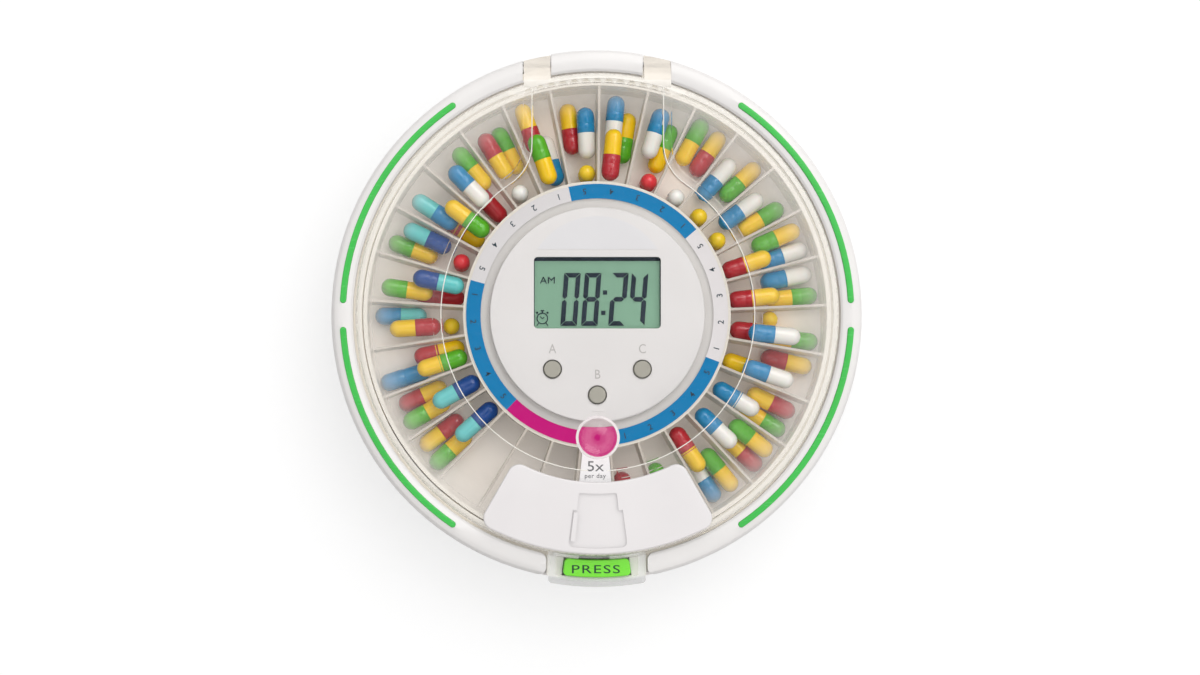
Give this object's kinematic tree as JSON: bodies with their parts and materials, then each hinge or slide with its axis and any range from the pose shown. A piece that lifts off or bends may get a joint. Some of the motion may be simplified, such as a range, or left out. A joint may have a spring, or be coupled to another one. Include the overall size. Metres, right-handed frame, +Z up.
{
  "type": "electronic pill box",
  "caption": "Round automatic pill dispenser: clear hinged lid with latch and dispensing door, turning tray of pill cells, display hub with buttons, light strips in the rim.",
  "frame": {"origin": "on the hub's axis, on the surface that the feet stand on", "axes": "+Z up out of the display, +Y towards the lid's hinge, +X to the right of the display"},
  "size_m": [0.22, 0.2224, 0.0564],
  "materials": {
    "white_gloss": "gloss",
    "white_matte": "fine texture",
    "beige_matte": "satin",
    "clear_plastic": "clear",
    "lens_plastic": "clear",
    "printed_ring": "printed",
    "green_light": "translucent",
    "green_button": "satin",
    "grey_rubber": "matte",
    "dark_rubber": "matte",
    "display": "matte",
    "display_cover": "clear",
    "label": "gloss film",
    "circuit_board": "solder mask",
    "dark_plastic": "matte",
    "steel": "brushed",
    "zinc": "satin",
    "nickel": "bright",
    "cell_sleeve": "gloss sleeve",
    "wire_sleeve": "soft",
    "pill_blue": "gloss",
    "pill_cyan": "gloss",
    "pill_darkred": "gloss",
    "pill_green": "gloss",
    "pill_navy": "gloss",
    "pill_red": "gloss",
    "pill_white": "gloss",
    "pill_yellow": "gloss"
  },
  "bodies": {
    "base": {"base_shell": "white_matte", "rubber_feet": "dark_rubber", "base_screws": "steel", "aa_cells": "cell_sleeve", "battery_contacts": "nickel", "battery_leads": "wire_sleeve", "inner_pan": "beige_matte", "pan_wall": "beige_matte", "hub_tower": "beige_matte", "rim_ring": "white_gloss", "hinge_pins": "steel", "light_strip_right_rear": "green_light", "light_strip_left_rear": "green_light", "light_strip_left_front": "green_light", "light_strip_right_front": "green_light", "light_boards": "circuit_board", "drive_motor": "zinc", "motor_screws": "steel", "index_sensor": "dark_plastic", "hub_cover": "white_gloss", "hub_label": "label", "display_lens": "display_cover", "display_module": "display", "main_board": "circuit_board", "board_screws": "steel", "button_switches": "dark_plastic", "buzzer": "dark_plastic", "latch_housing": "beige_matte", "latch_spring": "steel"},
    "tray": {"tray_floor": "beige_matte", "tray_inner_wall": "beige_matte", "tray_outer_wall": "beige_matte", "tray_dividers": "beige_matte", "tray_gear": "beige_matte", "index_magnet": "nickel", "dose_ring": "printed_ring", "pills_blue": "pill_blue", "pills_cyan": "pill_cyan", "pills_darkred": "pill_darkred", "pills_green": "pill_green", "pills_navy": "pill_navy", "pills_red": "pill_red", "pills_white": "pill_white", "pills_yellow": "pill_yellow"},
    "lid": {"lid": "clear_plastic", "dose_lens": "lens_plastic", "dispensing_plate": "white_gloss"},
    "pinion": {"drive_pinion": "dark_plastic"},
    "sliding_door": {"sliding_door": "white_gloss"},
    "latch_button": {"latch_button": "green_button"},
    "latch_bolt": {"latch_bolt": "steel"},
    "button_a": {"button_a": "grey_rubber"},
    "button_b": {"button_b": "grey_rubber"},
    "button_c": {"button_c": "grey_rubber"},
    "battery_door": {"battery_door": "white_matte"}
  },
  "joints": [
    {"name": "lid_hinge", "type": "hinge", "parent": "base", "child": "lid", "pos_m": [0, 0.1042, 0.0429], "axis": [-1, 0, 0], "range_deg": [0, 105]},
    {"name": "dispensing_door", "type": "hinge", "parent": "lid", "child": "sliding_door", "pos_m": [0, 0, 0.0507], "axis": [0, 0, 1], "range_deg": [0, 12.8]},
    {"name": "tray_spin", "type": "hinge", "parent": "base", "child": "tray", "pos_m": [0, 0, 0.0226], "axis": [0, 0, 1], "continuous": true},
    {"name": "pinion_spin", "type": "hinge", "parent": "base", "child": "pinion", "pos_m": [0, 0.044, 0.0234], "axis": [0, 0, 1], "continuous": true},
    {"name": "latch_press", "type": "slide", "parent": "base", "child": "latch_button", "axis": [0, 0, -1], "range_m": [0, 0.0025], "stiffness_N_per_m": 600, "springref_m": -0.001, "deforming": ["latch_spring"]},
    {"name": "bolt_slide", "type": "slide", "parent": "base", "child": "latch_bolt", "axis": [-1, 0, 0], "range_m": [0, 0.0025]},
    {"name": "button_a_press", "type": "slide", "parent": "base", "child": "button_a", "axis": [0, 0, -1], "range_m": [0, 0.0009], "stiffness_N_per_m": 800, "springref_m": -0.0005},
    {"name": "button_b_press", "type": "slide", "parent": "base", "child": "button_b", "axis": [0, 0, -1], "range_m": [0, 0.0009], "stiffness_N_per_m": 800, "springref_m": -0.0005},
    {"name": "button_c_press", "type": "slide", "parent": "base", "child": "button_c", "axis": [0, 0, -1], "range_m": [0, 0.0009], "stiffness_N_per_m": 800, "springref_m": -0.0005},
    {"name": "battery_door_slide", "type": "slide", "parent": "base", "child": "battery_door", "axis": [0, -1, 0], "range_m": [0, 0.008]}
  ],
  "couplings": [
    {"joint": "pinion_spin", "follows": "tray_spin", "ratio": 8.3333},
    {"joint": "bolt_slide", "follows": "latch_press", "ratio": 1}
  ]
}
